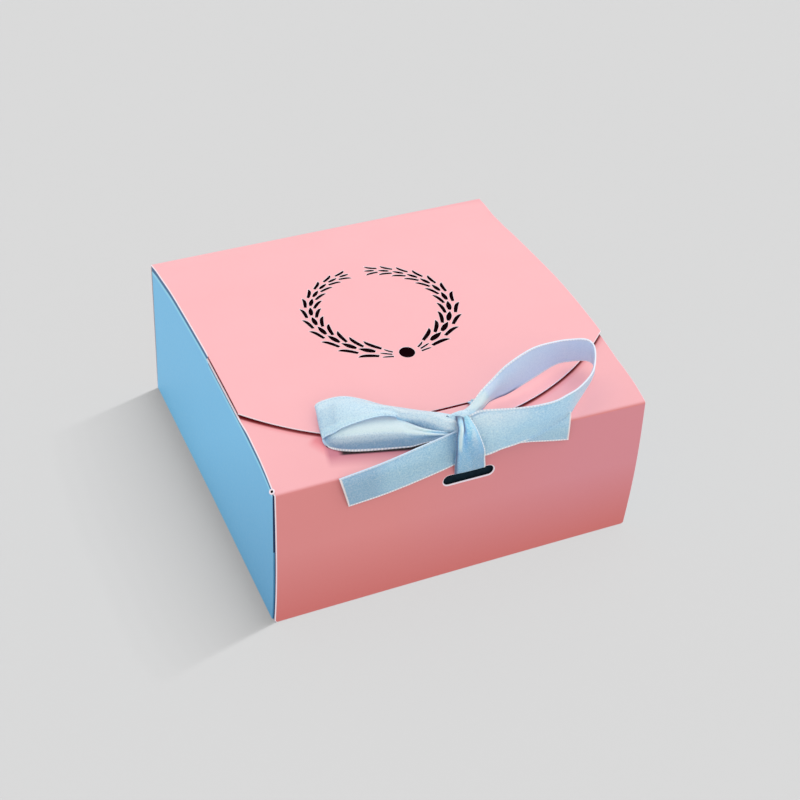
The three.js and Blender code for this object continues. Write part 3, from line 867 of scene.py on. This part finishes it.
def finish_mesh(name, mesh, materials, sharp=35):
    """Turns a bmesh in metres into a smooth-shaded piece that rides on the frame."""
    bmesh.ops.recalc_face_normals(mesh, faces=mesh.faces)
    for face in mesh.faces:
        face.smooth = True
    for edge in mesh.edges:
        if len(edge.link_faces) == 2:
            first, second = (face.material_index for face in edge.link_faces)
            edge.smooth = first == second and edge.calc_face_angle(0) <= math.radians(sharp)
    data = bpy.data.meshes.new(name)
    mesh.to_mesh(data)
    mesh.free()
    for material in materials:
        data.materials.append(material)
    piece = add_object(name, data)
    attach(piece, "root")
    return piece


def make_wrap():
    slit = stadium(SLIT["x"], SLIT["y"], SLIT["length"], SLIT["width"])
    slot = stadium(SLOT["x"], SLOT["z"], SLOT["length"], SLOT["height"], 12)
    holes = []
    for outlines, part, bevel in (
        (wreath_outlines(), "lid", BEVEL["leaf"]),
        ([slit], "lid", BEVEL["slit"]),
        ([slit], "flap", BEVEL["slit"]),
        ([slot], "front", BEVEL["slot"]),
    ):
        holes += [([(x, length_on(part, level)) for x, level in outline], bevel) for outline in outlines]
    mesh = flat_card(blank_outline(), holes)
    cuts = [((0, length, 0), (0, 1, 0)) for length in section_length[1:-1]]
    cuts += [((x, 0, 0), (1, 0, 0)) for x in np.linspace(-SIDE, SIDE, 13)[1:-1]]
    for place, normal in cuts:
        everything = mesh.verts[:] + mesh.edges[:] + mesh.faces[:]
        bmesh.ops.bisect_plane(mesh, geom=everything, plane_co=place, plane_no=normal, dist=1e-4)
    flap_end = length_on("front", HEIGHT - FOLD_RADIUS)
    lid_start = length_on("lid", UNDER_LID[1])
    for face in mesh.faces:
        centre = face.calc_center_median()
        if face.material_index == PRINT and centre.y < flap_end:
            face.material_index = FLAP_PRINT
        # The lid's cut edge beside the flap takes a darker card: painted shade.
        if face.material_index == CUT and centre.x < RIM_REACH - SIDE and centre.y > lid_start:
            face.material_index = LID_CUT
    for vert in mesh.verts:
        vert.co = fold_point(*vert.co)
    wrap = finish_mesh("pink_wrap", mesh, [PINK, CORE, CARD_BACK, PINK_FLAP, LID_RIM])
    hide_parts("carton_body", "front_flap", "lid_panel")
    return wrap


# Dark sheets of painted shade behind the cuts, and the relief ring

def make_shade_sheet(name, material, rows):
    """Makes a thin closed sheet from rows of points, each row once round the sheet's section."""
    mesh = bmesh.new()
    verts = [[mesh.verts.new(Vector(place) * MM) for place in row] for row in rows]
    for first, second in zip(verts, verts[1:]):
        join(mesh, first, second)
    mesh.faces.new(verts[0])
    mesh.faces.new(verts[-1][::-1])
    finish_mesh(name, mesh, [material])


def make_lid_shade_sheet(name, material, across, along, behind):
    rows = []
    for y in np.linspace(*along, 24):
        z = height_on(lid_line, y) - behind
        upper = [(x, y, z - sag(LID_SAG, x, y)) for x in np.linspace(*across, 9)]
        rows.append(upper + [(x, y, z - SHADE_SHEET_THICKNESS) for x, y, z in upper[::-1]])
    make_shade_sheet(name, material, rows)


def make_slot_backing():
    near = FRONT + CARD + SLOT_SHADE_DEPTH
    low, high = (SLOT["z"] + side * SLOT["height"] for side in (-1, 1))
    around = [(near, low), (near, high), (near + SHADE_SHEET_THICKNESS, high), (near + SHADE_SHEET_THICKNESS, low)]
    make_shade_sheet("slot_backing", TEAL, [
        [(SLOT["x"] + side * SLOT["length"], y, z) for y, z in around] for side in (-1, 1)
    ])


def make_ring():
    """The relief hole at the left end of the front fold: a white ring of card with a dark disc of painted
    shade inside it.
    """
    turn = Vector(RING["towards"]).to_track_quat("Z", "Y")
    mesh = bmesh.new()

    def circle(distance, height):
        places = [Vector((x, y, height)) for x, y in arc(0, 0, distance, 0, 360, RING["steps"])[:-1]]
        return [mesh.verts.new((Vector(RING["place"]) + turn @ place) * MM) for place in places]

    rim = arc(RING["radius"], 0, RING["thickness"], 0, 360, RING["sides"])[:-1]
    circles = [circle(*place) for place in rim]
    for first, second in zip(circles, circles[1:] + circles[:1]):
        join(mesh, first, second)
    upper, lower = (circle(RING["radius"], height) for height in RING["dark"])
    for disc in (upper, lower[::-1]):
        mesh.faces.new(disc).material_index = 1
    join(mesh, upper, lower, 1)
    finish_mesh("relief_ring", mesh, [CORE, DARK])


# Blue side panels: an upright face that folds in under the flaps

def panel_top(side, y):
    """The height of a side panel's upper edge, just under the lid or the flap."""
    if y > 0:
        line, sunk = lid_line, sag(LID_SAG, side * SIDE, y)
    else:
        line, sunk = front_flap_line, droop(SIDE, y) + sag(FLAP_SAG, side * SIDE, y)
    return height_on(line, y) - CARD - PANEL["below"] - sunk


def panel_profile(face, top):
    """A side panel's section in [x, z], from its foot over the rounded edge to the end of its tuck."""
    fold = PANEL["fold"]
    upright = [(face, z) for z in PANEL["heights"]] + [(face, top - below) for below in PANEL["below top"]]
    edge = arc(face - fold, top - fold, fold, 0, 90)
    return upright + edge + [(SIDE - PANEL["recess"] - PANEL["tuck"], top)]


def panel_point(side, x, y, z):
    """A point of a side panel: the left one flares out and leans forward near its foot."""
    low = max(0, 1 - z / HEIGHT) if side < 0 else 0
    near = min(max(y / PANEL_FLARE["front at"], 0), 1)
    spread = PANEL_FLARE["back"] + (PANEL_FLARE["front"] - PANEL_FLARE["back"]) * near
    begin = PANEL_FLARE["forward from"]
    ahead = min(max((begin - y) / (begin - PANEL_FLARE["front at"]), 0), 1)
    flare = low ** PANEL_FLARE["power"] * spread
    return Vector((side * (x + flare), y - low * PANEL_FLARE["forward"] * ahead, z)) * MM


def make_side_panel(side):
    front = FRONT + CARD + PANEL["gap"]
    edge = CARD + GAP
    back = BACK - edge
    stations = [FRONT + edge, front - 0.02, *np.linspace(front, -0.3, 44), *np.linspace(0.3, back, 44)]
    tops = {float(y): panel_top(side, y) for y in stations}
    mesh = bmesh.new()
    uv_layer = mesh.loops.layers.uv.new("UVMap")
    rows = []
    for y, top in tops.items():
        face = SIDE - PANEL["recess"] - (PANEL["strip"] if y < front - 0.01 else 0)
        rows.append([mesh.verts.new(panel_point(side, x, y, z)) for x, z in panel_profile(face, top)])
    for first, second in zip(rows, rows[1:]):
        for i in range(len(first) - 1):
            mesh.faces.new((first[i], second[i], second[i + 1], first[i + 1]))
    bmesh.ops.recalc_face_normals(mesh, faces=mesh.faces)
    if mesh.faces[:][0].normal.x * side < 0:
        bmesh.ops.reverse_faces(mesh, faces=mesh.faces)
    bmesh.ops.solidify(mesh, geom=mesh.faces[:], thickness=CARD * MM)
    for face in mesh.faces:
        centre = face.calc_center_median() / MM
        forward = PANEL_FLARE["forward"] * max(0, 1 - centre.z / HEIGHT) if side < 0 else 0
        # The strip along the front is painted shade.
        if centre.y + forward < front + 0.01:
            face.material_index = STRIP_SHADE
        elif centre.y > back - 0.01 or centre.z < PANEL["foot"] + 0.01:
            face.material_index = CUT
        for loop in face.loops:
            place = loop.vert.co / MM
            nearest = min(tops, key=lambda y: abs(y - place.y))
            loop[uv_layer].uv = (place.y, tops[nearest] - place.z)
    name = "right" if side > 0 else "left"
    panel = finish_mesh("side_card_" + name, mesh, [BLUE_RIGHT if side > 0 else BLUE, CORE, SHADOW_EDGE])
    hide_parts("side_panel_" + name)
    return panel


# Ribbon

def strand_grid(strand):
    """Points of a strand's middle surface: rows run along it, columns across it.

    Where the cloth is drawn together to less than its width, it stands in pleats.
    """
    count = (len(strand["stations"]) - 1) * PER_STATION + 1
    rows = np.array([through(station, STATION_POINTS).ravel() for station in strand["stations"]])
    along = through(rows, count).reshape(count, STATION_POINTS, 3)
    grid = np.array([through(row, ACROSS + 1) for row in along])
    normals = surface_normals(grid)
    s = np.linspace(0, 1, ACROSS + 1)[None, :]
    width = np.linalg.norm(np.diff(grid, axis=1), axis=2).sum(axis=1)[:, None]
    gather = np.clip(1 - width / RIBBON_WIDTH, 0, 0.75)
    gather *= np.clip(np.arange(count) / PER_STATION - strand.get("pleats from", 0) + 1, 0, 1)[:, None]
    travel = distance_along(grid)[:, None]
    turns = 2 * math.pi * strand.get("pleats", 0) * s
    wave = np.sin(turns + 0.5 * np.sin(travel / 5)) * np.sin(math.pi * s)
    lift = 4 * strand.get("bulge", 0) * s * (1 - s) + strand.get("pleat depth", PLEAT_DEPTH) * gather * wave
    return grid + lift[..., None] * normals


def distance_along(grid):
    middle = grid[:, grid.shape[1] // 2]
    return np.concatenate([[0], np.cumsum(np.linalg.norm(np.diff(middle, axis=0), axis=1))])


def surface_normals(grid):
    across = np.gradient(grid, axis=1)
    along = np.gradient(grid, axis=0)
    normal = np.cross(across, along)
    return normal / np.maximum(np.linalg.norm(normal, axis=2), 1e-9)[..., None]


def hollowness(grid, normals):
    """How far each point lies below its neighbours across the strand, towards the side of its normal."""
    reach = HOLLOW_REACH
    padded = np.pad(grid, ((0, 0), (reach, reach), (0, 0)), mode="edge")
    neighbours = (padded[:, 2 * reach:] + padded[:, :-2 * reach]) / 2
    hollow = ((neighbours - grid) * normals).sum(axis=2)
    hollow[:, :reach] = 0
    hollow[:, -reach:] = 0
    return hollow


def within(value, low, high, soft):
    """One between low and high, and nought beyond them, with soft ends."""
    return np.clip((value - low) / soft + 0.5, 0, 1) * np.clip((high - value) / soft + 0.5, 0, 1)


def strand_marks(strand, side, hollow, to_end):
    """What the satin reads on one side of a strand, as rows along it and columns across."""
    rows, columns = hollow.shape
    station = (np.arange(rows) / PER_STATION)[:, None]
    share = (np.arange(columns) / (columns - 1))[None, :]
    marks = {
        "fold": np.clip(0.5 + side * FOLD_TONE * hollow, 0, 1),
        "hem": sum(strength * within(station, *shown, 0.3) * (np.round(share) == edge)
                   for edge, shown, strength in strand["hems"]),
        "end": to_end[:, None] if "cut end" in strand else RIBBON_WIDTH,
        "painted_light": 0.5 + 0.5 * sum(painted_light * within(station, *stations, 0.5) * within(share, *shares, 0.08)
                                for stations, shares, painted_light in strand.get("painted_lights", ())),
        "inner": 0,
    }
    if "back" in strand and side == strand["back"]["side"]:
        first, last = strand["back"]["from"]
        marks["inner"] = BACK_TONE * np.clip((station - first - (last - first) * share) * 6, 0, 1)
    return {name: np.broadcast_to(values, hollow.shape) for name, values in marks.items()}


def add_strand(mesh, strand):
    """Adds a strand to mesh as a thin closed band with thicker edges, and gives its length."""
    uv_layer = mesh.loops.layers.uv.new("UVMap")
    layers = {name: mesh.verts.layers.float.new(name) for name in ("fold", "hem", "end", "inner", "painted_light")}
    grid = strand_grid(strand)
    travel = distance_along(grid)
    normals = surface_normals(grid)
    hollow = hollowness(grid, normals)
    rows, columns = grid.shape[:2]
    spans = np.cumsum(np.linalg.norm(np.diff(grid, axis=1), axis=2), axis=1)
    across = np.pad(spans / spans[:, -1:], ((0, 0), (1, 0))) * RIBBON_WIDTH
    from_edge = np.minimum(across, RIBBON_WIDTH - across)
    half = RIBBON / 2 * (1 + EDGE_SWELL * np.exp(-(from_edge / SELVEDGE) ** 2))
    sides = {}
    for side in (1, -1):
        points = grid + side * half[..., None] * normals
        sides[side] = [[mesh.verts.new(Vector(point) * MM) for point in row] for row in points]
        for name, values in strand_marks(strand, side, hollow, travel[-1] - travel).items():
            for i, j in np.ndindex(rows, columns):
                sides[side][i][j][layers[name]] = float(values[i, j])

    def add(corners, material_index=0):
        """Adds a face from its corners, [side, row, column]."""
        face = mesh.faces.new([sides[side][i][j] for side, i, j in corners])
        face.material_index = material_index
        for loop, (side, i, j) in zip(face.loops, corners):
            loop[uv_layer].uv = (across[i, j], travel[i])

    for i in range(rows - 1):
        for j in range(columns - 1):
            around = [(i, j), (i, j + 1), (i + 1, j + 1), (i + 1, j)]
            add([(1, *place) for place in around])
            add([(-1, *place) for place in around[::-1]])
        for j in (0, columns - 1):
            add([(1, i, j), (1, i + 1, j), (-1, i + 1, j), (-1, i, j)], 1)
    for i in (0, rows - 1):
        for j in range(columns - 1):
            add([(1, i, j), (-1, i, j), (-1, i, j + 1), (1, i, j + 1)], 1)
    return float(travel[-1])


def make_strand(name, strand):
    mesh = bmesh.new()
    length = add_strand(mesh, strand)
    piece = finish_mesh(name, mesh, [SHADED_SATIN if name == "ribbon_band" else SATIN, RIM], 70)
    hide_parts("ribbon_bow")
    return piece


# Stage

def make_floor():
    data = bpy.data.meshes.new("floor")
    corners = [(x * FLOOR["size"], y * FLOOR["size"], 0) for x, y in ((-1, -1), (1, -1), (1, 1), (-1, 1))]
    data.from_pydata(corners, [], [range(4)])
    data.materials.append(floor_paper())
    floor = add_object("floor", data)
    floor.location.z = -0.1 * MM
    return floor


def make_sky():
    world = bpy.data.worlds.new("studio")
    bpy.context.scene.world = world
    world.use_nodes = True
    background = world.node_tree.nodes["Background"]
    background.inputs["Color"].default_value = (1, 1, 1, 1)
    background.inputs["Strength"].default_value = SKY


def add_sun(name, strength, angle, towards, blockers):
    """Adds a sun that stands towards a direction, with light that only the blockers hold back."""
    data = bpy.data.lights.new(name, "SUN")
    data.energy = strength
    data.angle = math.radians(angle)
    sun = add_object(name, data)
    sun.rotation_euler = Vector(towards).to_track_quat("Z", "Y").to_euler()
    sun.light_linking.blocker_collection = blockers
    return sun


def light_loop(wrap):
    """The warm light that comes through the satin of the right loop on to the card."""
    data = bpy.data.lights.new("light_through_satin", "AREA")
    data.shape = "RECTANGLE"
    data.size, data.size_y = (side * MM for side in LOOP_FILL["size"])
    data.energy = LOOP_FILL["power"]
    data.color = LOOP_FILL["colour"]
    light = add_object("light_through_satin", data)
    light.location = Vector(LOOP_FILL["place"]) * MM
    light.rotation_euler.z = math.radians(LOOP_FILL["turn"])
    light.light_linking.receiver_collection = add_collection("lit_through_satin", wrap)


def light_floor(floor, left_panel):
    """The strip of lights, which lights only the floor, with the shadow of the left panel."""
    lit = add_collection("lit_by_strip", floor)
    shading = add_collection("shades_the_strip", left_panel)
    turn = math.radians(STRIP["turn"])
    for share in np.linspace(0, 1, STRIP["lights"]):
        reach = STRIP["least"] + STRIP["even"] * share + STRIP["far"] * share ** 4
        towards = Vector((reach * math.cos(turn), reach * math.sin(turn), STRIP["height"])).normalized()
        strength = STRIP["light"] * math.pi / STRIP["lights"] / towards.z
        add_sun("strip", strength, STRIP["angle"], towards, shading).light_linking.receiver_collection = lit


def make_camera():
    data = bpy.data.cameras.new("camera")
    data.sensor_width = 36
    data.lens = CAMERA["lens"]
    data.clip_start = 0.01
    camera = add_object("camera", data)
    turn = Matrix.Rotation(math.radians(CAMERA["azimuth"]), 4, "Z")
    tilt = Matrix.Rotation(math.radians(90 - CAMERA["elevation"]), 4, "X")
    roll = Matrix.Rotation(math.radians(CAMERA["roll"]), 4, "Z")
    camera.matrix_world = Matrix.Translation(Vector(CAMERA["place"]) * MM) @ turn @ tilt @ roll
    bpy.context.scene.camera = camera


make_camera()
wrap = make_wrap()
left_panel = make_side_panel(-1)
right_panel = make_side_panel(1)
floor = make_floor()
make_sky()
shades_window = add_collection("shades_window", wrap, left_panel, right_panel, floor)
add_sun("window", WINDOW["strength"], WINDOW["angle"], WINDOW["from"], shades_window)
light_loop(wrap)
light_floor(floor, left_panel)
# Dark sheets of painted shade behind the cuts
make_lid_shade_sheet("wreath_backing", DARK, *WREATH_SHADE_SHEET)
make_lid_shade_sheet("slit_backing", MAROON, *SLIT_SHADE_SHEET)
make_slot_backing()
make_ring()

# The satin of the two open loops lets the window's light through.
for name, strand in STRANDS.items():
    piece = make_strand(name, strand)
    if "loop" not in name:
        shades_window.objects.link(piece)
bpy.context.scene.view_settings.view_transform = "Standard"
